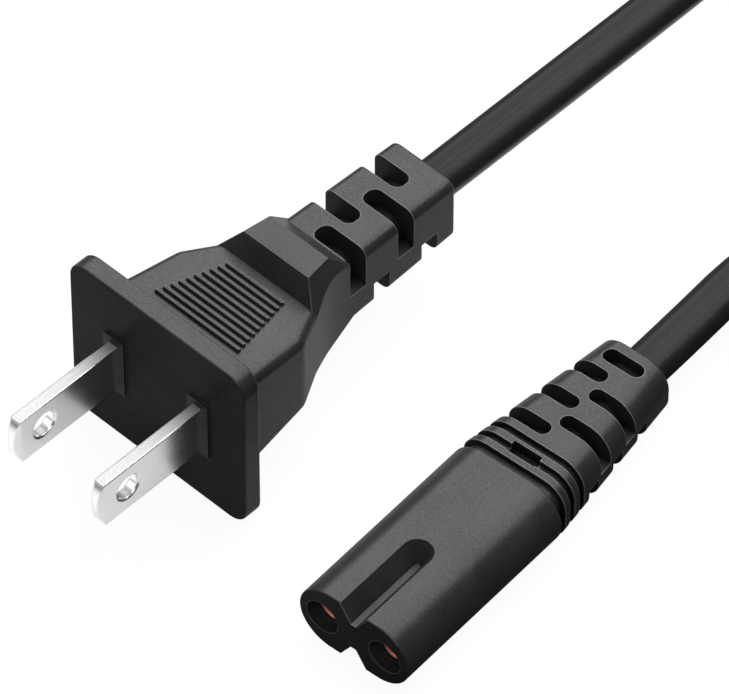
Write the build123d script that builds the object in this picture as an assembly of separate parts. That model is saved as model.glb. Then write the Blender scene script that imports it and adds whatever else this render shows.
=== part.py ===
from build123d import *
import math
import os

# Lengths are in millimetres and angles in degrees.
# The plug and the connector are each drawn in a frame of their own: X across the two poles,
# Y from the mating face towards the cord, Z up, with the origin in the middle of the mating face.

# Plug blades
blade_pitch = 12.7
blade_width = 6.6
blade_thickness = 1.5
blade_reach = 15.9
blade_crown = 1.0
blade_bevel = 0.35
blade_bevel_length = 0.95
blade_edge_break = 0.12
blade_hole_radius = 1.6
blade_hole_from_face = 11.5
blade_hole_break = 0.22
blade_shank_width = 4.4
blade_shank_end = 8.0
barrel_radius = 1.35
barrel_length = 4.6

# Carrier that holds the blades, with a low collar round each
carrier_width = 18.0
carrier_height = 9.0
carrier_front = 1.0
carrier_back = 5.6
collar_width = 3.1
collar_height = 8.5
collar_raise = 0.3

# Plug moulding
flange_width = 26.3
flange_height = 23.4
flange_thickness = 2.45
flange_corner = 2.5
flange_edge = 0.3
grip_half_width = 10.6
grip_waist_half_width = 9.65
grip_waist = 12.8
neck_half_width = 5.05
neck = 21.8
tail_half_width = 4.75
tail_end = 41.6
grip_half_height = 7.2
step_foot = 16.7
step_half_height = 5.25
tail_half_height = 4.5
waist_round = 2.5
neck_round = 14.0
step_round = 14.0
grip_edge_round = 1.3
tail_edge = 0.45

# Stepped block behind the grip, on both faces
block_front = 18.35
block_rear = 21.9
block_half_height = 7.7
block_front_half_width = 4.9
block_rear_half_width = 4.4
block_front_side_slope = 0.86
block_rear_side_slope = 0.15
block_front_slope = 0.67
block_rear_slope = 0.97

# Ribs of the grip
rib_count = 10
rib_first = 6.3
rib_last = 15.05
rib_first_half_length = 6.45
rib_last_half_length = 4.4
rib_width = 0.5
rib_height = 0.4
rib_taper = 20.0

# Slots of the plug's strain relief
plug_slot_first = 24.7
plug_slot_period = 3.83
plug_slot_count = 4
plug_slot_width = 2.55
plug_slot_past_middle = 1.05
plug_top_slot_past_axis = 0.65
plug_under_slot_from_axis = 1.5
plug_slot_round = 1.1

# Flat twin cord
cord_width = 5.5
cord_thickness = 3.5
cord_skin = 0.35
core_radius = 1.05
core_pitch = 2.2
conductor_radius = 0.52
core_straight = 2.6
plug_jacket_start = 23.6
plug_run_bends = [55.0, 87.0]
connector_jacket_start = 32.6
connector_run_bend = 50.0

# Connector moulding
nose_width = 15.0
nose_height = 8.5
nose_end = 26.2
nose_front_edge = 0.2
nose_rear_edge = 0.4
rear_half_width = 7.2
rear_half_height = 4.15
connector_tail_half_width = 4.65
connector_tail_half_height = 3.8
connector_tail_end = 48.2
rear_edge_round = 3.1
connector_tail_edge = 0.3

# Keyways, grooves and index pockets of the connector
keyway_width = 3.7
keyway_floor_width = 0.7
keyway_depth = 2.35
keyway_end = 12.5
groove_starts = [26.2, 28.05, 29.95]
groove_width = 0.95
groove_depth = 0.72
pocket_start = 27.9
pocket_length = 1.65
pocket_width = 3.9
pocket_depth = 1.5

# Slots of the connector's strain relief
left_slot_starts = [31.95, 36.8, 41.75]
right_slot_starts = [34.3, 39.3]
connector_slot_width = 1.95
connector_slot_past_middle = 0.1
connector_slot_web = 0.4
middle_slot_start = 44.85
middle_slot_half_length = 2.65

# Sockets and contacts of the connector
contact_pitch = 8.6
socket_radius = 2.15
contact_depth = 1.6
contact_length = 12.0
contact_bore_radius = 1.2
contact_outer_radius = 1.5
contact_barrel_length = 5.0
contact_barrel_radius = 1.2
contact_lead_in = 0.17
insert_wall = 0.75
insert_past_barrel = 0.8
insert_web_height = 2.0

# Places on the table, before the whole is centred: the plug stands on its flange with its axis along Y
plug_axis_height = flange_height / 2
connector_x = 34.4
connector_y = -5.3
connector_yaw = 4.15
connector_axis_height = nose_height / 2

# Coil of the cord that is left over
coil_columns = 2
coil_layers = 4
coil_middle_radius = 28.5
column_pitch = 5.6
layer_pitch = 3.65
coil_y = 128.0
coil_exit_angle = 35.0
coil_stub = 23.0
coil_margin = 0.25
tie_thickness = 0.5
tie_width = 8.0
tie_angle = 60.0

# Worked out from the sizes above
coil_outer_turn = coil_middle_radius + column_pitch * (coil_columns - 1) / 2
coil_height = layer_pitch * coil_layers
top_turn_height = coil_height - layer_pitch / 2
bottom_turn_height = layer_pitch / 2
insert_back = contact_depth + contact_length + contact_barrel_length + insert_past_barrel


def flat_section(plane, grow=0.0):
    return plane * SlotOverall(cord_width + 2 * grow, cord_thickness + 2 * grow)


def across(y, height=0.0):
    # Plane across the cord at y, with its own x along X and its own y along Z.
    return Plane((0, y, height), x_dir=(1, 0, 0), z_dir=(0, -1, 0))


def both_faces(shape):
    return shape + shape.rotate(Axis.Y, 180)


def blade(side):
    half = blade_width / 2
    shoulder = -blade_reach + blade_crown
    edge = Polyline((shoulder, -half), (carrier_back, -half), (carrier_back, half), (shoulder, half))
    crown = ThreePointArc((shoulder, half), (-blade_reach, 0), (shoulder, -half))
    strip = extrude(Plane.YZ * make_face(edge + crown), blade_thickness / 2, both=True)
    strip = chamfer(strip.edges().filter_by(Axis.Y), blade_edge_break)
    thin = blade_thickness / 2 - blade_bevel
    thick = blade_thickness / 2
    bevel_start = -blade_reach + blade_bevel_length
    plan = Polyline((-thin, -blade_reach), (thin, -blade_reach), (thick, bevel_start), (thick, carrier_back),
                    (-thick, carrier_back), (-thick, bevel_start), close=True)
    strip = strip & extrude(make_face(plan), blade_width, both=True)
    hole = Cylinder(blade_hole_radius, 2 * blade_thickness, rotation=(0, 90, 0))
    rim = Cone(blade_hole_radius, blade_hole_radius + 2 * blade_hole_break, 2 * blade_hole_break)
    for turn in (90, -90):
        reach = thick if turn > 0 else -thick
        hole += Pos(reach, 0, 0) * Rot(0, turn, 0) * rim
    strip -= Pos(0, -blade_hole_from_face, 0) * hole
    shank_length = blade_shank_end - carrier_back
    shank = Pos(0, carrier_back + shank_length / 2, 0) * Box(blade_thickness, shank_length, blade_shank_width)
    barrel_plane = Plane((0, blade_shank_end, 0), x_dir=(1, 0, 0), z_dir=(0, 1, 0))
    barrel = extrude(barrel_plane * Circle(barrel_radius), barrel_length)
    barrel -= extrude(barrel_plane * Circle(conductor_radius), barrel_length)
    return Pos(side * blade_pitch / 2, 0, 0) * (strip + shank + barrel)


def carrier(blades):
    length = carrier_back - carrier_front
    block = Pos(0, carrier_front + length / 2, 0) * Box(carrier_width, length, carrier_height)
    collar_length = carrier_front + collar_raise
    for side in (-1, 1):
        collar = RectangleRounded(collar_width, collar_height, 0.3)
        place = across(carrier_front) * Pos(side * blade_pitch / 2, 0)
        block += extrude(place * collar, collar_length)
    for piece in blades:
        block -= piece
    return block


def bend_radii(points):
    # Largest even bend that the two runs at each corner allow.
    radii = []
    for before, corner, after in zip(points, points[1:], points[2:]):
        run = min((corner - before).length, (after - corner).length)
        turn = math.radians((corner - before).get_angle(after - corner))
        radii.append(0.45 * run / math.tan(turn / 2))
    return radii


def core_and_conductor(points, bare):
    # Insulated core along the points, and its copper that runs on past the first point by the bare length.
    path = FilletPolyline(*points, radius=bend_radii(points))
    start = Plane(points[0], z_dir=points[1] - points[0])
    copper = sweep(start * Circle(conductor_radius), path)
    ahead = (points[0] - points[1]).normalized()
    copper += extrude(start * Circle(conductor_radius), bare, dir=ahead)
    core = sweep(start * Circle(core_radius), path) - copper
    return core, copper


def plug_core(side):
    x = side * blade_pitch / 2
    start = blade_shank_end + barrel_length
    near = side * core_pitch / 2
    points = [Vector(x, start, 0), Vector(x, start + core_straight, 0),
              Vector(near, plug_jacket_start - core_straight, 0), Vector(near, plug_jacket_start, 0)]
    return core_and_conductor(points, barrel_length)


def plug_plan():
    side = [(grip_half_width, flange_thickness / 2), (grip_waist_half_width, grip_waist),
            (neck_half_width, neck), (tail_half_width, tail_end)]
    right = FilletPolyline(*side, radius=[waist_round, neck_round])
    left = FilletPolyline(*[(-x, y) for x, y in side], radius=[waist_round, neck_round])
    front = Line(left @ 0, right @ 0)
    back = Line(left @ 1, right @ 1)
    return extrude(make_face(right + left + front + back), 2 * grip_half_height, both=True)


def plug_profile():
    slope = (step_half_height - grip_half_height) / (step_foot - flange_thickness)
    front = flange_thickness / 2
    top = [(front, grip_half_height + slope * (front - flange_thickness)), (step_foot, step_half_height),
           (tail_end, tail_half_height)]
    upper = FilletPolyline(*top, radius=step_round)
    lower = FilletPolyline(*[(y, -z) for y, z in top], radius=step_round)
    ends = Line(upper @ 0, lower @ 0) + Line(upper @ 1, lower @ 1)
    return extrude(Plane.YZ * make_face(upper + lower + ends), 2 * grip_half_width, both=True)


def stepped_block(plan):
    def outline(z):
        drop = block_half_height - z
        front = block_front - block_front_slope * drop
        rear = block_rear + block_rear_slope * drop
        front_half = block_front_half_width + block_front_side_slope * drop
        rear_half = block_rear_half_width + block_rear_side_slope * drop
        corners = [(-front_half, front), (front_half, front), (rear_half, rear), (-rear_half, rear)]
        return Pos(0, 0, z) * make_face(Polyline(*corners, close=True))

    top = outline(block_half_height)
    foot = outline(tail_half_height - grip_edge_round)
    return both_faces(loft([foot, top]) & plan)


def ribs():
    angle = math.degrees(math.atan2(grip_half_height - step_half_height, step_foot - flange_thickness))
    bank = None
    for i in range(rib_count):
        part_way = i / (rib_count - 1)
        y = rib_first + part_way * (rib_last - rib_first)
        half = rib_first_half_length + part_way * (rib_last_half_length - rib_first_half_length)
        z = grip_half_height - (y - flange_thickness) * math.tan(math.radians(angle))
        face = Pos(0, y, z) * Rot(-angle, 0, 0) * Pos(0, 0, -0.05)
        rib = face * extrude(SlotOverall(2 * half, rib_width + 0.2), rib_height + 0.05, taper=rib_taper)
        bank = rib if bank is None else bank + rib
    return both_faces(bank)


def open_slot(start, width, inner, floor, corner):
    # Slot in the top face, open to the right. Its round inner end is at x = inner and its floor at z = floor.
    reach = 3 * tail_half_width
    plan = Pos(inner + reach / 2, start + width / 2) * Rectangle(reach, width)
    plan = fillet(plan.vertices().group_by(Axis.X)[0], corner)
    return Pos(0, 0, floor) * extrude(plan, 4 * tail_half_height)


def relief_core(start, end):
    return extrude(flat_section(across(start), cord_skin), -(end - start))


def plug_relief_slots():
    cuts = None
    for i in range(plug_slot_count):
        start = plug_slot_first + i * plug_slot_period
        inner = -plug_slot_past_middle
        top = open_slot(start, plug_slot_width, inner, -plug_top_slot_past_axis, plug_slot_round)
        under = open_slot(start, plug_slot_width, inner, plug_under_slot_from_axis, plug_slot_round)
        slot = top + under.rotate(Axis.Y, 180)
        slot = slot if i % 2 == 0 else mirror(slot, Plane.YZ)
        cuts = slot if cuts is None else cuts + slot
    return cuts - relief_core(plug_slot_first - 1, tail_end)


def plug_overmould(inner):
    plan = plug_plan()
    body = plan & plug_profile()
    long_edges = body.edges().filter_by(lambda e: abs(e.tangent_at(0.5).Y) > 0.7)
    body = fillet(long_edges, grip_edge_round)
    body = fillet(body.faces().sort_by(Axis.Y)[-1].edges(), tail_edge)
    sheet = RectangleRounded(flange_width, flange_height, flange_corner)
    flange = extrude(across(0) * sheet, -flange_thickness)
    flange = fillet(flange.faces().sort_by(Axis.Y)[0].edges() + flange.faces().sort_by(Axis.Y)[-1].edges(),
                    flange_edge)
    shell = body + flange + stepped_block(plan) + ribs() - plug_relief_slots()
    for piece in inner:
        shell -= piece
    return shell


def contact(side):
    sleeve_end = contact_depth + contact_length
    axis = Plane((side * contact_pitch / 2, contact_depth, 0), x_dir=(1, 0, 0), z_dir=(0, 1, 0))
    sleeve = extrude(axis * Circle(contact_outer_radius), contact_length)
    sleeve -= extrude(axis * Circle(contact_bore_radius), contact_length - 1)
    mouth = sleeve.edges().filter_by(GeomType.CIRCLE).group_by(Axis.Y)[0].sort_by(SortBy.RADIUS)[0]
    sleeve = chamfer(mouth, contact_lead_in)
    back = Plane((side * contact_pitch / 2, sleeve_end, 0), x_dir=(1, 0, 0), z_dir=(0, 1, 0))
    barrel = extrude(back * Circle(contact_barrel_radius), contact_barrel_length)
    barrel -= extrude(back * Circle(conductor_radius), contact_barrel_length)
    return sleeve + barrel


def insert(contacts):
    radius = contact_outer_radius + insert_wall
    length = insert_back - contact_depth
    block = Pos(0, contact_depth + length / 2, 0) * Box(contact_pitch, length, insert_web_height)
    for side in (-1, 1):
        axis = Plane((side * contact_pitch / 2, contact_depth, 0), x_dir=(1, 0, 0), z_dir=(0, 1, 0))
        block += extrude(axis * Circle(radius), length)
        block -= extrude(axis * Circle(contact_outer_radius), contact_length)
        block -= extrude(axis * Circle(core_radius), length)
    for piece in contacts:
        block -= piece
    return block


def connector_core(side):
    x = side * contact_pitch / 2
    start = contact_depth + contact_length + contact_barrel_length
    near = side * core_pitch / 2
    straight = core_straight + insert_past_barrel
    points = [Vector(x, start, 0), Vector(x, start + straight, 0),
              Vector(near, connector_jacket_start - straight, 0), Vector(near, connector_jacket_start, 0)]
    return core_and_conductor(points, contact_barrel_length)


def tapered_rear(front, shrink=0.0):
    slope = (connector_tail_half_width - rear_half_width) / (connector_tail_end - nose_end)
    fall = (connector_tail_half_height - rear_half_height) / (connector_tail_end - nose_end)

    def section(y):
        half_width = rear_half_width + slope * (y - nose_end) - shrink
        half_height = rear_half_height + fall * (y - nose_end) - shrink
        return across(y) * RectangleRounded(2 * half_width, 2 * half_height, rear_edge_round - shrink)

    return loft([section(front), section(connector_tail_end)])


def keyway():
    top = nose_height / 2
    floor = top - keyway_depth
    flare = (keyway_width - keyway_floor_width) / 2 / keyway_depth
    over = 0.5
    half_top = keyway_width / 2 + flare * over
    corners = [(-half_top, top + over), (half_top, top + over), (keyway_floor_width / 2, floor),
               (-keyway_floor_width / 2, floor)]
    length = keyway_end - keyway_width / 2
    trough = extrude(across(0) * make_face(Polyline(*corners, close=True)), -length)
    end = Cone(keyway_floor_width / 2, half_top, keyway_depth + over)
    return trough + Pos(0, length, floor + (keyway_depth + over) / 2) * end


def groove(start):
    slab = Pos(0, start + groove_width / 2, 0) * Box(2 * nose_width, groove_width, 2 * nose_height)
    return slab - tapered_rear(nose_end - groove_width, groove_depth)


def index_pocket():
    depth = rear_half_height - pocket_depth
    box = Box(pocket_width, pocket_length, nose_height, align=(Align.CENTER, Align.MIN, Align.MIN))
    return Pos(0, pocket_start, depth) * box


def connector_relief_slots():
    corner = connector_slot_width / 2 - 0.05
    cuts = None
    for starts, opens in ((right_slot_starts, 1), (left_slot_starts, -1)):
        for start in starts:
            slot = both_faces(open_slot(start, connector_slot_width, -connector_slot_past_middle,
                                        connector_slot_web / 2, corner))
            slot = slot if opens > 0 else mirror(slot, Plane.YZ)
            cuts = slot if cuts is None else cuts + slot
    middle = Pos(0, middle_slot_start + connector_slot_width / 2) * RectangleRounded(
        2 * middle_slot_half_length, connector_slot_width, corner)
    cuts += both_faces(extrude(middle, nose_height))
    return cuts - relief_core(nose_end, connector_tail_end)


def connector_overmould(inner):
    nose = extrude(across(0) * SlotOverall(nose_width, nose_height), -nose_end)
    nose = fillet(nose.faces().sort_by(Axis.Y)[-1].edges(), nose_rear_edge)
    nose = fillet(nose.faces().sort_by(Axis.Y)[0].edges(), nose_front_edge)
    nose -= both_faces(keyway())
    rear = tapered_rear(nose_end)
    rear = fillet(rear.faces().sort_by(Axis.Y)[-1].edges(), connector_tail_edge)
    shell = nose + rear
    for start in groove_starts:
        shell -= groove(start)
    shell -= both_faces(index_pocket())
    shell -= connector_relief_slots()
    for side in (-1, 1):
        axis = Plane((side * contact_pitch / 2, 0, 0), x_dir=(1, 0, 0), z_dir=(0, 1, 0))
        shell -= extrude(axis * Circle(socket_radius), contact_depth)
        shell -= extrude(axis * Circle(contact_outer_radius), contact_depth + contact_length)
    for piece in inner:
        shell -= piece
    return shell


def cord_run(points):
    print("bend radii", [round(r, 1) for r in bend_radii(points)])
    path = FilletPolyline(*points, radius=bend_radii(points))
    heading = points[1] - points[0]
    across_width = heading.cross(Vector(0, 0, 1))
    start = Plane(points[0], x_dir=across_width, z_dir=heading)
    section = SlotOverall(cord_width, cord_thickness)
    print("cord length", round(path.length, 1), "section", round(section.area, 2))
    return sweep(start * section, path)


def coil(centre):
    # Closed ring of the wound turns with the two ends of the cord, and the tie round it.
    # The tie's lower strap lies on the table, in a notch of the ring.
    inner = coil_middle_radius - column_pitch * (coil_columns - 1) / 2 - cord_width / 2 - coil_margin
    outer = coil_outer_turn + cord_width / 2 + coil_margin
    middle = (inner + outer) / 2
    bundle = Plane.XZ * Pos(middle, coil_height / 2) * Rectangle(outer - inner, coil_height)
    ring = Pos(centre) * revolve(bundle, Axis.Z)
    entry = Plane(plug_run_points()[-1], x_dir=(1, 0, 0), z_dir=(0, 1, 0))
    ring += extrude(entry * SlotOverall(cord_width, cord_thickness), coil_stub)
    towards = coil_exit_heading() * -1
    leave = Plane(connector_run_points()[-1], x_dir=towards.cross(Vector(0, 0, 1)), z_dir=towards)
    ring += extrude(leave * SlotOverall(cord_width, cord_thickness), coil_stub)
    tie_top = coil_height + tie_thickness
    strap = Plane.XZ * Pos(middle, tie_top / 2) * Rectangle(outer - inner + 2 * tie_thickness, tie_top)
    strap -= Plane.XZ * Pos(middle, tie_top / 2) * Rectangle(outer - inner, coil_height - tie_thickness)
    wrap = math.degrees(tie_width / coil_middle_radius)
    tie = Pos(centre) * revolve(strap, Axis.Z, wrap).rotate(Axis.Z, tie_angle)
    return ring - tie, tie


def coil_exit_heading():
    angle = math.radians(coil_exit_angle)
    return Vector(-math.sin(angle), -math.cos(angle), 0)


def plug_run_points():
    return [Vector(0, plug_jacket_start, plug_axis_height), Vector(0, plug_run_bends[0], plug_axis_height),
            Vector(0, plug_run_bends[1], top_turn_height), Vector(0, coil_y - coil_stub, top_turn_height)]


def connector_run_points():
    angle = math.radians(coil_exit_angle)
    leaves = Vector(coil_outer_turn * (1 + math.cos(angle)), coil_y - coil_outer_turn * math.sin(angle),
                    bottom_turn_height)
    heading = coil_exit_heading()
    yaw = math.radians(connector_yaw)
    along = Vector(-math.sin(yaw), math.cos(yaw), 0)
    mouth = Vector(connector_x, connector_y, connector_axis_height)
    gap = leaves - mouth
    corner_distance = (gap.X * heading.Y - gap.Y * heading.X) / (along.X * heading.Y - along.Y * heading.X)
    corner = mouth + along * corner_distance
    corner = Vector(corner.X, corner.Y, bottom_turn_height)
    return [mouth + along * connector_jacket_start, mouth + along * connector_run_bend, corner,
            leaves + heading * coil_stub]


plug_blades = [blade(-1), blade(1)]
plug_carrier = carrier(plug_blades)
plug_cores = [plug_core(-1), plug_core(1)]
plug_inner = plug_blades + [plug_carrier] + [piece for pair in plug_cores for piece in pair]
contacts = [contact(-1), contact(1)]
connector_insert = insert(contacts)
connector_cores = [connector_core(-1), connector_core(1)]
connector_inner = contacts + [connector_insert] + [piece for pair in connector_cores for piece in pair]

plug_place = Pos(0, 0, plug_axis_height)
connector_place = Pos(connector_x, connector_y, connector_axis_height) * Rot(0, 0, connector_yaw)
plug_run = cord_run(plug_run_points())
connector_run = cord_run(connector_run_points())
pieces = {
    "plug_overmould": plug_place * plug_overmould(plug_inner) - plug_run,
    "plug_blade_carrier": plug_place * plug_carrier,
    "connector_overmould": connector_place * connector_overmould(connector_inner) - connector_run,
    "connector_insert": connector_place * connector_insert,
}
for i, side in enumerate(("left", "right")):
    pieces["plug_blade_" + side] = plug_place * plug_blades[i]
    pieces["plug_core_" + side] = plug_place * plug_cores[i][0]
    pieces["plug_conductor_" + side] = plug_place * plug_cores[i][1]
    pieces["contact_" + side] = connector_place * contacts[i]
    pieces["connector_core_" + side] = connector_place * connector_cores[i][0]
    pieces["connector_conductor_" + side] = connector_place * connector_cores[i][1]

# The origin is under the middle of the plug and connector together, on the table.
boxes = [piece.bounding_box() for piece in pieces.values()]
middle_x = (min(box.min.X for box in boxes) + max(box.max.X for box in boxes)) / 2
middle_y = (min(box.min.Y for box in boxes) + max(box.max.Y for box in boxes)) / 2
to_origin = Pos(-middle_x, -middle_y, 0)
print("shift to the origin", -middle_x, -middle_y)
coil_ring, coil_tie = coil(Vector(coil_outer_turn, coil_y, 0))
pieces["cord_plug_run"] = plug_run
pieces["cord_connector_run"] = connector_run
pieces["cord_coil"] = coil_ring
pieces["coil_tie"] = coil_tie

os.makedirs("parts", exist_ok=True)
for name, piece in pieces.items():
    placed = to_origin * piece
    print(name, round(placed.volume, 1), len(placed.solids()), placed.is_valid)
    export_step(placed, "parts/" + name + ".step")
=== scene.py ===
import math
import bpy
import numpy as np
from mathutils import Matrix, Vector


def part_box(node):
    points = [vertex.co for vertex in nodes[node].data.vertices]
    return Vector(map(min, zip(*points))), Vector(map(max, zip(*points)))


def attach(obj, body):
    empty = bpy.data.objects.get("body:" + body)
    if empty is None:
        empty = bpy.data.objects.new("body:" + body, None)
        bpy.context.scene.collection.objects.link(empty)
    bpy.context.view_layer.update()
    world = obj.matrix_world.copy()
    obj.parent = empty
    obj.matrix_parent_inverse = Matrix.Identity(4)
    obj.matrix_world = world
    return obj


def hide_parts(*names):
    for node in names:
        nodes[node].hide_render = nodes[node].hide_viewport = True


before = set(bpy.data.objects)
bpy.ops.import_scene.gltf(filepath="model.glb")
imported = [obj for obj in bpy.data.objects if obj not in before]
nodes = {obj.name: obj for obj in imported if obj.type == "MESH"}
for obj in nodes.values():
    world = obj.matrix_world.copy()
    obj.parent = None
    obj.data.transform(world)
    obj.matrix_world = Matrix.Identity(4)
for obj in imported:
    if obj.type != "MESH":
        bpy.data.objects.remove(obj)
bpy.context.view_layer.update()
print("loaded", len(nodes), "pieces")

# the bench point: on the table, under the middle of the plug's face; lengths below are in mm from it
plugLow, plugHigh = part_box("plug_overmould")
bench = np.array([(plugLow[0] + plugHigh[0]) / 2, plugLow[1], 0.0])


def place(points):
    # bench millimetres to frame metres
    return np.asarray(points, float) / 1000 + bench


def standing(right, up, back, at):
    # a camera's or lamp's place, from its three directions
    return Matrix([[right[i], up[i], back[i], at[i]] for i in range(3)] + [[0, 0, 0, 1]])


# picture's viewpoint: turned and tipped in degrees about the plug's face, then slid across the frame; the
# clipping distances are in metres
viewpoint = {"turn": 43.915, "tip": 48.954, "distance": 898.6, "right": 22.301, "up": 4.84, "wide": 5.0,
             "height": 12.0, "sensor": 36.0, "clip": (0.01, 20.0)}


def addCamera(v):
    turn, tip = math.radians(v["turn"]), math.radians(v["tip"])
    ahead = np.array([-math.sin(turn) * math.cos(tip), math.cos(turn) * math.cos(tip), -math.sin(tip)])
    right = np.array([math.cos(turn), math.sin(turn), 0.0])
    up = np.cross(right, ahead)
    eye = np.array([0, 0, v["height"]]) + right * v["right"] + up * v["up"] - ahead * v["distance"]
    lens = bpy.data.cameras.new("pictureCamera")
    lens.sensor_fit = "HORIZONTAL"
    lens.sensor_width = v["sensor"]
    lens.lens = v["sensor"] / 2 / math.tan(math.radians(v["wide"] / 2))
    lens.clip_start, lens.clip_end = v["clip"]
    camera = bpy.data.objects.new("pictureCamera", lens)
    camera.matrix_world = standing(right, up, -ahead, place(eye))
    bpy.context.scene.collection.objects.link(camera)
    bpy.context.scene.camera = camera


addCamera(viewpoint)
print("camera set")


class Val:
    # a shader socket that takes part in Python sums

    def __init__(self, tree, socket):
        self.tree = tree
        self.socket = socket

    def node(self, kind, settings=None, out=0, **sockets):
        # any node: its type, its settings, its output, then values or links by socket name, or i and a number
        made = self.tree.nodes.new(kind)
        for name, value in (settings or {}).items():
            setattr(made, name, value)
        for name, value in sockets.items():
            key = int(name[1:]) if name[0] == "i" and name[1:].isdigit() else name.replace("_", " ")
            feed(made, key, value)
        return Val(self.tree, made.outputs[out])

    def maths(self, operation, other):
        return self.node("ShaderNodeMath", {"operation": operation}, i0=self, i1=other)

    def flipped(self, operation, other):
        return self.node("ShaderNodeMath", {"operation": operation}, i0=other, i1=self)

    def __add__(self, other):
        return self.maths("ADD", other)

    def __radd__(self, other):
        return self.flipped("ADD", other)

    def __sub__(self, other):
        return self.maths("SUBTRACT", other)

    def __rsub__(self, other):
        return self.flipped("SUBTRACT", other)

    def __mul__(self, other):
        return self.maths("MULTIPLY", other)

    def __rmul__(self, other):
        return self.flipped("MULTIPLY", other)

    def step(self, low, high, fromValue=0.0, toValue=1.0):
        # smooth change from one value to another between two places
        return self.node("ShaderNodeMapRange", {"interpolation_type": "SMOOTHSTEP"}, Value=self, From_Min=low,
                         From_Max=high, To_Min=fromValue, To_Max=toValue)

    def band(self, starts, full, fades, ends):
        # 1 between two places and 0 outside them, with soft sides
        return self.step(starts, full) * self.step(fades, ends, 1.0, 0.0)

    def blend(self, first, second):
        # this value is the share of the second colour
        return self.node("ShaderNodeMix", {"data_type": "RGBA"}, 2, i0=self, i6=first, i7=second)


def feed(node, key, value):
    # sets a node's socket, by link where the value varies
    target = node.inputs[key]
    if isinstance(value, Val):
        value.tree.links.new(value.socket, target)
    else:
        target.default_value = value


def startMaterial(name):
    # a new material, its shader, and its object coordinates
    material = bpy.data.materials.new(name)
    material.use_nodes = True
    tree = material.node_tree
    shader = tree.nodes["Principled BSDF"]
    coords = Val(tree, tree.nodes.new("ShaderNodeTexCoord").outputs["Object"])
    return material, shader, coords


def grey(level):
    return (level, level, level, 1.0)


# where most of a noise's values lie, and how many rays judge an edge or a hollow
noiseSpan = (0.3, 0.7)
occlusionRays = 12


def noise(coords, scale, detail=3.0):
    return coords.node("ShaderNodeTexNoise", {}, Vector=coords, Scale=scale, Detail=detail)


def bumped(height, strength, depth):
    return height.node("ShaderNodeBump", {}, Strength=strength, Distance=depth, Height=height)


def occluded(coords, reach, inside):
    # looking from inside, how near a sharp outer edge is; from outside, how shut in a spot lies; both from 0
    # to 1, within a reach in metres
    settings = {"inside": inside, "only_local": True, "samples": occlusionRays}
    return 1 - coords.node("ShaderNodeAmbientOcclusion", settings, 1, Distance=reach)


def facing(coords, axis):
    # how far the surface faces along the object's own axis 0, 1 or 2, from -1 to 1
    normal = Val(coords.tree, coords.socket.node.outputs["Normal"])
    return coords.node("ShaderNodeSeparateXYZ", {}, axis, Vector=normal)


pvcLook = {"dark": 0.012, "light": 0.020, "mottle": (0.35, 0.65), "edge": 0.12, "edgeReach": 0.00022,
           "edgeSpan": (0.18, 0.55), "paintedShade": 0.003, "hollowReach": 0.0022, "paintedShadeSpan": (0.4, 0.95),
           "grainScale": 5200.0, "cloudScale": 160.0, "grainDepth": 0.00001, "bump": 0.35,
           "underRough": (0.6, 0.75), "rough": 0.32, "shine": 0.02, "sheen": 0.40, "frontSheen": 0.10,
           "frontSpan": (-0.95, -0.5), "speckle": (0.25, 0.75, 0.75, 1.25), "dulling": (0.2, 0.7, 1.0, 0.35)}


def mouldedPvc(look):
    # fine moulded grain, with a painted highlight that makes the outer edges paler and painted shade that
    # makes the slots darkest, with less sheen there and on what faces the front
    material, shader, coords = startMaterial("mouldedPvc")
    grain, cloud = noise(coords, look["grainScale"]), noise(coords, look["cloudScale"])
    edge, shut = occluded(coords, look["edgeReach"], True), occluded(coords, look["hollowReach"], False)
    mottled = (cloud * 0.5 + grain * 0.5).step(*look["mottle"])
    body = mottled.blend(grey(look["dark"]), grey(look["light"]))
    # painted highlight: the outer edges are made paler
    highlighted = edge.step(*look["edgeSpan"]).blend(body, grey(look["edge"]))
    # painted shade: the slots and hollows are made darker
    feed(shader, "Base Color", shut.step(*look["paintedShadeSpan"]).blend(highlighted, grey(look["paintedShade"])))
    feed(shader, "Roughness", grain.step(*noiseSpan, *look["underRough"]))
    feed(shader, "Normal", bumped(grain, look["bump"], look["grainDepth"]))
    front = facing(coords, 1).step(*look["frontSpan"], look["frontSheen"], look["sheen"])
    feed(shader, "Coat Weight", front * grain.step(*look["speckle"]) * shut.step(*look["dulling"]))
    shader.inputs["Coat Roughness"].default_value = look["rough"]
    shader.inputs["Specular IOR Level"].default_value = look["shine"]
    return material


nickelLook = {"dim": (0.87, 0.865, 0.855, 1), "bright": (0.92, 0.915, 0.905, 1), "roughShadedTop": 0.23,
              "roughShadedTopBright": 0.28, "rough": 0.2, "cutRough": 0.5, "roughShadedTopSpan": (0.8, 0.95),
              "drawScale": (1500.0, 140.0, 5200.0), "drawSpan": (0.2, 0.8), "drawRough": 0.04,
              "speckScale": 4200.0, "speckDetail": 2.0, "round": 0.0003, "roundRays": 6}


def nickelPlate(look):
    # plated strip with faint draw lines; the blanked upper edge is rougher and speckled, and painted dark as
    # shade
    material, shader, coords = startMaterial("nickelPlate")
    draw = noise(coords.node("ShaderNodeMapping", {}, Vector=coords, Scale=look["drawScale"]), 1.0)
    speck = noise(coords, look["speckScale"], look["speckDetail"])
    roughShadedTop = facing(coords, 2).step(*look["roughShadedTopSpan"])
    plate = draw.step(*look["drawSpan"]).blend(look["dim"], look["bright"])
    shadedTopColour = speck.step(*noiseSpan).blend(grey(look["roughShadedTop"]), grey(look["roughShadedTopBright"]))
    # painted shade: the upper edge is painted dark
    feed(shader, "Base Color", roughShadedTop.blend(plate, shadedTopColour))
    rough = roughShadedTop.step(0.0, 1.0, look["rough"], look["cutRough"])
    feed(shader, "Roughness", rough + draw.step(*look["drawSpan"], 0.0, look["drawRough"]))
    rounded = coords.node("ShaderNodeBevel", {"samples": look["roundRays"]}, Radius=look["round"])
    feed(shader, "Normal", rounded)
    shader.inputs["Metallic"].default_value = 1.0
    return material


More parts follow.
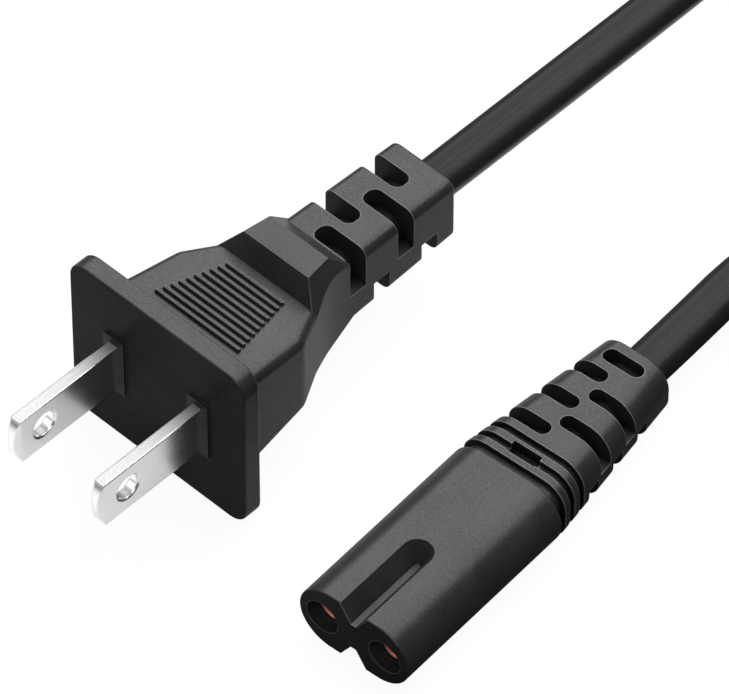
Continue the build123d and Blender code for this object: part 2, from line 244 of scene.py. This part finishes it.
copperLook = {"deep": (0.42, 0.13, 0.06, 1), "warm": (0.62, 0.24, 0.13, 1), "rim": (0.96, 0.70, 0.58, 1),
              "rimReach": 0.00015, "rimHighlightSpan": (0.3, 0.7), "cloudScale": 1400.0, "rough": (0.35, 0.5),
              "metal": 0.5}


def copperSleeve(look):
    # red-brown sleeve with a pale rim that is a painted highlight
    material, shader, coords = startMaterial("copperSleeve")
    cloud = noise(coords, look["cloudScale"])
    edge = occluded(coords, look["rimReach"], True)
    bore = cloud.step(*noiseSpan).blend(look["deep"], look["warm"])
    # painted highlight: the rim is painted pale
    feed(shader, "Base Color", edge.step(*look["rimHighlightSpan"]).blend(bore, look["rim"]))
    feed(shader, "Roughness", cloud.step(*noiseSpan, *look["rough"]))
    shader.inputs["Metallic"].default_value = look["metal"]
    return material


insideLook = {"cloudScale": 700.0, "dim": 0.82, "roughBy": 0.06}


def plainInside(name, colour, rough, metal=0.0, shine=0.5):
    # pieces that lie inside or barely show, with a light unevenness
    material, shader, coords = startMaterial(name)
    cloud, by = noise(coords, insideLook["cloudScale"]), insideLook["roughBy"]
    dim = tuple(c * insideLook["dim"] for c in colour) + (1,)
    feed(shader, "Base Color", cloud.step(*noiseSpan).blend(dim, colour + (1,)))
    feed(shader, "Roughness", cloud.step(*noiseSpan, rough - by, rough + by))
    shader.inputs["Metallic"].default_value = metal
    shader.inputs["Specular IOR Level"].default_value = shine
    return material


jacketLook = {"dark": 0.008, "light": 0.012, "lineScale": (90.0, 160.0, 1.0), "lineBump": 0.1,
              "lineDepth": 0.00003, "fineScale": 3200.0, "fineDetail": 2.0, "underRough": (0.5, 0.6),
              "rough": 0.30, "shine": 0.02, "faceSheen": 0.14, "endSheen": 0.04, "rimSheen": 0.7,
              "speckle": (0.25, 0.75, 0.85, 1.15), "rim": (0.01, 0.03, 0.12, 0.17),
              "upperFace": (0.20, 0.26, 0.53, 0.57), "lowerFace": (0.75, 0.80)}


def cordJacket(look):
    # smooth extruded PVC with faint draw lines along the cord, shiny on its flat faces and dull round its
    # ends; the map's second number goes once round: lower rim, right end, upper face, left end, lower face
    material, shader, coords = startMaterial("cordJacket")
    mapped = Val(coords.tree, coords.socket.node.outputs["UV"])
    lines = noise(coords.node("ShaderNodeMapping", {}, Vector=mapped, Scale=look["lineScale"]), 1.0)
    fine = noise(coords, look["fineScale"], look["fineDetail"])
    feed(shader, "Base Color", lines.step(*noiseSpan).blend(grey(look["dark"]), grey(look["light"])))
    feed(shader, "Roughness", fine.step(*noiseSpan, *look["underRough"]))
    feed(shader, "Normal", bumped(lines, look["lineBump"], look["lineDepth"]))
    turn = coords.node("ShaderNodeSeparateXYZ", {}, 1, Vector=mapped)
    face = turn.band(*look["upperFace"]) + turn.step(*look["lowerFace"])
    rim = turn.band(*look["rim"])
    sheen = look["endSheen"] + face * (look["faceSheen"] - look["endSheen"]) + rim * look["rimSheen"]
    feed(shader, "Coat Weight", sheen * fine.step(*look["speckle"]))
    shader.inputs["Coat Roughness"].default_value = look["rough"]
    shader.inputs["Specular IOR Level"].default_value = look["shine"]
    return material


strapLook = {"dark": 0.016, "light": 0.05, "weaveScale": 900.0, "waver": 2.0, "weaveSpan": (0.2, 0.8),
             "bump": 0.5, "bumpDepth": 0.0001, "rough": 0.85}


def wovenStrap(look):
    # slanting weave, darker between its ridges
    material, shader, coords = startMaterial("wovenStrap")
    weave = coords.node("ShaderNodeTexWave", {"bands_direction": "DIAGONAL"}, Vector=coords,
                        Scale=look["weaveScale"], Distortion=look["waver"])
    ridge = weave.step(*look["weaveSpan"])
    feed(shader, "Base Color", ridge.blend(grey(look["dark"]), grey(look["light"])))
    feed(shader, "Normal", bumped(weave, look["bump"], look["bumpDepth"]))
    shader.inputs["Roughness"].default_value = look["rough"]
    return material


pvc = mouldedPvc(pvcLook)
nickel = nickelPlate(nickelLook)
copper = copperSleeve(copperLook)
jacket = cordJacket(jacketLook)
strap = wovenStrap(strapLook)
hardPlastic = plainInside("hardPlastic", (0.014, 0.014, 0.014), rough=0.45, shine=0.12)
whiteCore = plainInside("whiteCore", (0.75, 0.75, 0.72), rough=0.4)
blackCore = plainInside("blackCore", (0.03, 0.03, 0.03), rough=0.4)
bareCopper = plainInside("bareCopper", (0.80, 0.42, 0.28), rough=0.3, metal=1.0)

dress = {
    "plug_overmould": pvc, "connector_overmould": pvc, "plug_blade_carrier": hardPlastic,
    "connector_insert": hardPlastic, "plug_blade_left": nickel, "plug_blade_right": nickel,
    "contact_left": copper, "contact_right": copper,
    "plug_core_left": whiteCore, "connector_core_left": whiteCore, "plug_core_right": blackCore,
    "connector_core_right": blackCore, "plug_conductor_left": bareCopper, "plug_conductor_right": bareCopper,
    "connector_conductor_left": bareCopper, "connector_conductor_right": bareCopper, "coil_tie": strap,
}
for name, material in dress.items():
    slots = nodes[name].data.materials
    slots.clear()
    slots.append(material)
print("dressed", len(dress), "pieces")

# the plug's run and the exit are in bench mm; the connector's run is along its axis from its face, to the
# left of it, and up; the length is in metres
cordFacts = {"width": 5.5, "thickness": 3.5, "length": 1.5, "dip": 0.18, "endSteps": 10, "faceSteps": 9,
             "stepsPerPoint": 9, "exit": (0, 41.6, 11.7),
             "plugRun": [(0.05, 23.6, 11.7), (0.05, 55.0, 11.65), (0.15, 87.0, 11.8)],
             "connectorMouth": (34.4, -5.3), "connectorYaw": 4.15, "cornerBy": (2.5, 0.45, 3.95),
             "connectorRun": [(50.0, -0.38, 4.23), (32.6, 0.0, 4.25)]}
# each turn is its column and its layer, from the plug's end of the cord on
coilFacts = {"centre": (31.3, 128.0), "columns": (31.3, 25.7), "high": 14.6, "layers": 4,
             "pointsPerTurn": 24, "crossAt": 120.0, "crossSpan": 86.0, "leaveAt": 35.0, "tieAt": 112.0,
             "tieSpan": 24.0, "tieThick": 0.5,
             "turns": ((0, 3), (1, 3), (1, 2), (0, 2), (0, 1), (1, 1), (1, 0), (0, 0))}


def coilPoints(c):
    # radius and height follow the turn's column and layer, easing from one turn to the next where the cord
    # crosses; the layers close up a little over the tie's lower strap
    crossings = len(c["turns"]) - 1
    last = 180.0 + c["leaveAt"] + 360.0 * crossings
    swept = np.linspace(0.0, last, int(last / 360 * c["pointsPerTurn"]))
    late = (swept - c["crossAt"]) / 360.0
    turn = np.clip(np.floor(late + 0.5), 0, crossings - 1).astype(int)
    ease = np.clip((late - turn) * 360.0 / c["crossSpan"] + 0.5, 0, 1)
    ease = ease * ease * (3 - 2 * ease)
    column = np.array([c["columns"][k] for k, _ in c["turns"]])
    level = np.array([(k + 0.5) / c["layers"] for _, k in c["turns"]])
    radius = column[turn] * (1 - ease) + column[turn + 1] * ease
    fromTie = (swept - c["tieAt"] + 180.0) % 360.0 - 180.0
    lifted = c["tieThick"] * np.exp(-(fromTie / c["tieSpan"]) ** 4)
    height = lifted + (c["high"] - lifted) * (level[turn] * (1 - ease) + level[turn + 1] * ease)
    bearing = np.radians(180.0 - swept)
    middle = c["centre"]
    return np.stack([middle[0] + radius * np.cos(bearing), middle[1] + radius * np.sin(bearing), height], 1)


def cordRoute(f, c):
    # plug's run, coil, then the run back to the connector; each run has one point as far from the coil as the
    # coil's own points lie apart
    yaw = math.radians(f["connectorYaw"])
    along = np.array([-math.sin(yaw), math.cos(yaw), 0.0])
    axes = np.array([along, [-along[1], along[0], 0.0], [0, 0, 1.0]])
    mouth = np.array(f["connectorMouth"] + (0.0,))
    lean = math.radians(c["leaveAt"])
    heading = np.array([-math.sin(lean), -math.cos(lean), 0.0])
    wound = coilPoints(c)
    gap = wound[-1] - mouth
    reach = (gap[0] * heading[1] - gap[1] * heading[0]) / (along[0] * heading[1] - along[1] * heading[0])
    corner = (reach + f["cornerBy"][0],) + f["cornerBy"][1:]
    back = mouth + np.array([corner] + f["connectorRun"]) @ axes
    apart = np.linalg.norm(wound[1] - wound[0])
    joins, leaves = wound[0] - [0, apart, 0], wound[-1] + heading * apart
    return place(np.vstack([f["plugRun"], joins, wound, leaves, back]))


def splineLine(points, steps):
    # the smooth line of a NURBS spline that has the route's points as its control points
    curve = bpy.data.curves.new("cordLine", "CURVE")
    curve.dimensions = "3D"
    spline = curve.splines.new("NURBS")
    spline.points.add(len(points) - 1)
    spline.points.foreach_set("co", np.column_stack([points, np.ones(len(points))]).ravel())
    spline.order_u = 3
    spline.use_endpoint_u = True
    spline.resolution_u = steps
    holder = bpy.data.objects.new("cordLine", curve)
    bpy.context.scene.collection.objects.link(holder)
    read = bpy.data.meshes.new_from_object(holder)
    line = np.empty(len(read.vertices) * 3)
    read.vertices.foreach_get("co", line)
    bpy.data.objects.remove(holder)
    bpy.data.meshes.remove(read)
    bpy.data.curves.remove(curve)
    return line.reshape(-1, 3)


def tubeMesh(name, grid, alongMap, roundMap):
    # grid[i, j] is the point at step i along and j round; faces join neighbours, and one face closes each end
    rows, cols = grid.shape[:2]
    ids = np.arange(rows * cols).reshape(rows, cols)
    turned = np.roll(ids, -1, axis=1)
    quads = np.stack([ids[:-1], turned[:-1], turned[1:], ids[1:]], -1).reshape(-1, 4)
    faces = quads.tolist() + [ids[0][::-1].tolist(), ids[-1].tolist()]
    mesh = bpy.data.meshes.new(name)
    mesh.from_pydata(grid.reshape(-1, 3).tolist(), [], faces)
    layer = mesh.uv_layers.new(name="cordMap")
    corner = np.empty(len(mesh.loops), int)
    mesh.loops.foreach_get("vertex_index", corner)
    uv = np.stack([alongMap.ravel()[corner], roundMap.ravel()[corner]], 1)
    layer.data.foreach_set("uv", uv.astype(float).ravel())
    mesh.polygons.foreach_set("use_smooth", np.ones(len(mesh.polygons), bool))
    mesh.update()
    obj = bpy.data.objects.new(name, mesh)
    bpy.context.scene.collection.objects.link(obj)
    return obj


def cordSection(f):
    # across and up in metres, once round: a half round at each end, and faces that dip between the two cores
    # by a cosine hump
    half, flat = f["thickness"] / 2000, (f["width"] - f["thickness"]) / 2000
    turn = np.linspace(-math.pi / 2, math.pi / 2, f["endSteps"])
    face = np.linspace(flat, -flat, f["faceSteps"])[1:-1]
    sunk = half - f["dip"] / 1000 * (1 + np.cos(math.pi * face / flat)) / 2
    across = np.concatenate([flat + half * np.cos(turn), face, -flat - half * np.cos(turn), -face])
    up = np.concatenate([half * np.sin(turn), sunk, -half * np.sin(turn), -sunk])
    return across, up


def flatCord(f, c):
    # the section is carried along the spline with its width level
    line = splineLine(cordRoute(f, c), f["stepsPerPoint"])
    ahead = np.gradient(line, axis=0)
    ahead /= np.linalg.norm(ahead, axis=1)[:, None]
    side = np.cross(ahead, [0, 0, 1.0])
    side /= np.linalg.norm(side, axis=1)[:, None]
    rise = np.cross(side, ahead)
    across, lift = cordSection(f)
    sides = len(across)
    grid = line[:, None] + side[:, None] * across[None, :, None] + rise[:, None] * lift[None, :, None]
    run = np.concatenate([[0], np.cumsum(np.linalg.norm(np.diff(line, axis=0), axis=1))])
    alongMap = np.repeat(run[:, None], sides, 1)
    roundMap = np.repeat((np.arange(sides) / sides)[None], len(line), 0)
    obj = tubeMesh("mainsCord", grid, alongMap, roundMap)
    obj.data.materials.append(jacket)
    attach(obj, "root")
    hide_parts("cord_plug_run", "cord_connector_run", "cord_coil")
    print("cord", round(float(run[-1]), 3), "m in", len(line), "steps")


flatCord(cordFacts, coilFacts)


def mirrorRay(tree, paths):
    # 1 for a ray that a mirror or a clear piece sends on
    glossy, clear = (Val(tree, paths.outputs[name]) for name in ("Is Glossy Ray", "Is Transmission Ray"))
    return glossy.maths("MAXIMUM", clear)


# the floor's size and drop are in metres, its fades in bench mm
stageFacts = {"floor": 6.0, "drop": 0.00005, "paint": 0.8, "shown": 1.0, "shade": 0.06, "mirrored": 0.35,
              "bounce": (0.1, 0.75, 0.05), "sheen": 0.62, "frontFade": (-8.0, 14.0), "sideFade": (0.0, 46.0),
              "middle": (20.0, 20.0), "farFade": (60.0, 150.0)}


def addFloor(f):
    # white to the camera, with part of its shade kept; what it throws back fades to the front and to the
    # right as a painted shadow, and far away as painted shade
    size, drop = f["floor"], -f["drop"]
    mesh = bpy.data.meshes.new("paleFloor")
    corners = [(-size, -size, drop), (size, -size, drop), (size, size, drop), (-size, size, drop)]
    mesh.from_pydata(corners, [], [(0, 1, 2, 3)])
    floor = bpy.data.objects.new("paleFloor", mesh)
    bpy.context.scene.collection.objects.link(floor)
    material = bpy.data.materials.new("paleFloor")
    material.use_nodes = True
    tree = material.node_tree
    tree.nodes.clear()
    paths = tree.nodes.new("ShaderNodeLightPath")
    camera = Val(tree, paths.outputs["Is Camera Ray"])
    coords = Val(tree, tree.nodes.new("ShaderNodeTexCoord").outputs["Object"])
    breadth, depth = (coords.node("ShaderNodeSeparateXYZ", {}, axis, Vector=coords) for axis in (0, 1))
    near, wide = (float(bench[0]) + mm / 1000 for mm in f["sideFade"])
    front, rear = (float(bench[1]) + mm / 1000 for mm in f["frontFade"])
    middle = tuple(place([f["middle"] + (0.0,)])[0])
    away = coords.node("ShaderNodeVectorMath", {"operation": "DISTANCE"}, 1, i0=coords, i1=middle)
    mirror = mirrorRay(tree, paths)
    # painted shadow and shade: the floor throws back less light to the front and right of the object, and far
    # away
    distant = away.step(f["farFade"][0] / 1000, f["farFade"][1] / 1000)
    far = distant.maths("MAXIMUM", breadth.step(near, wide))
    low, high, least = f["bounce"]
    close = mirror.blend(depth.step(front, rear).blend(grey(low), grey(high)), grey(f["sheen"]))
    thrown = far.blend(close, grey(least))
    seen = (camera * (1 - f["shade"])).maths("MAXIMUM", mirror * (1 - far) * f["mirrored"])
    lit = camera.node("ShaderNodeBsdfDiffuse", {}, Color=camera.blend(thrown, grey(f["paint"])))
    glow = camera.node("ShaderNodeEmission", {}, Color=grey(1.0), Strength=f["shown"])
    mixed = camera.node("ShaderNodeMixShader", {}, i0=seen, i1=lit, i2=glow)
    feed(tree.nodes.new("ShaderNodeOutputMaterial"), "Surface", mixed)
    mesh.materials.append(material)


# places in bench mm, sizes in metres, powers in watts
lampFacts = [
    {"name": "backPanel", "at": (-180, 450, 750), "aim": (20, 30, 5), "size": (1.4, 1.1), "power": 25.0},
    {"name": "frontFill", "at": (310, -320, 520), "aim": (20, 0, 5), "size": (0.3, 0.3), "power": 1.6},
    {"name": "frontCard", "at": (-410, -690, 395), "aim": (0, 10, 15), "size": (0.5, 0.5), "power": 0.9},
]


def addLamp(f):
    data = bpy.data.lights.new(f["name"], "AREA")
    data.shape = "RECTANGLE"
    data.size, data.size_y = f["size"]
    data.energy = f["power"]
    lamp = bpy.data.objects.new(f["name"], data)
    bpy.context.scene.collection.objects.link(lamp)
    at, aim = place([f["at"], f["aim"]])
    back = at - aim
    back /= np.linalg.norm(back)
    right = np.cross([0, 1.0, 0], back)
    right /= np.linalg.norm(right)
    up = np.cross(back, right)
    lamp.matrix_world = standing(right, up, back, at)


skyFacts = {"fill": 0.12, "shown": 1.0, "mirrored": 0.8, "paleSide": (-0.55, -0.45, 0.70),
            "paleSpan": (0.1, 0.95)}


def addSky(f):
    # even soft fill, white where it is seen and paler to one side where it is mirrored
    world = bpy.data.worlds.new("softRoom")
    bpy.context.scene.world = world
    world.use_nodes = True
    tree = world.node_tree
    sky = tree.nodes["Background"]
    paths = tree.nodes.new("ShaderNodeLightPath")
    camera = Val(tree, paths.outputs["Is Camera Ray"])
    way = Val(tree, tree.nodes.new("ShaderNodeTexCoord").outputs["Generated"])
    lean = way.node("ShaderNodeVectorMath", {"operation": "DOT_PRODUCT"}, 1, i0=way, i1=f["paleSide"])
    pale = mirrorRay(tree, paths) * lean.step(*f["paleSpan"], 0.0, f["mirrored"])
    seen = camera.maths("MAXIMUM", pale)
    feed(sky, "Strength", seen * (f["shown"] - f["fill"]) + f["fill"])
    sky.inputs["Color"].default_value = grey(1.0)


addFloor(stageFacts)
for lampFact in lampFacts:
    addLamp(lampFact)
addSky(skyFacts)
bpy.context.scene.view_settings.view_transform = "Standard"
print("stage set")
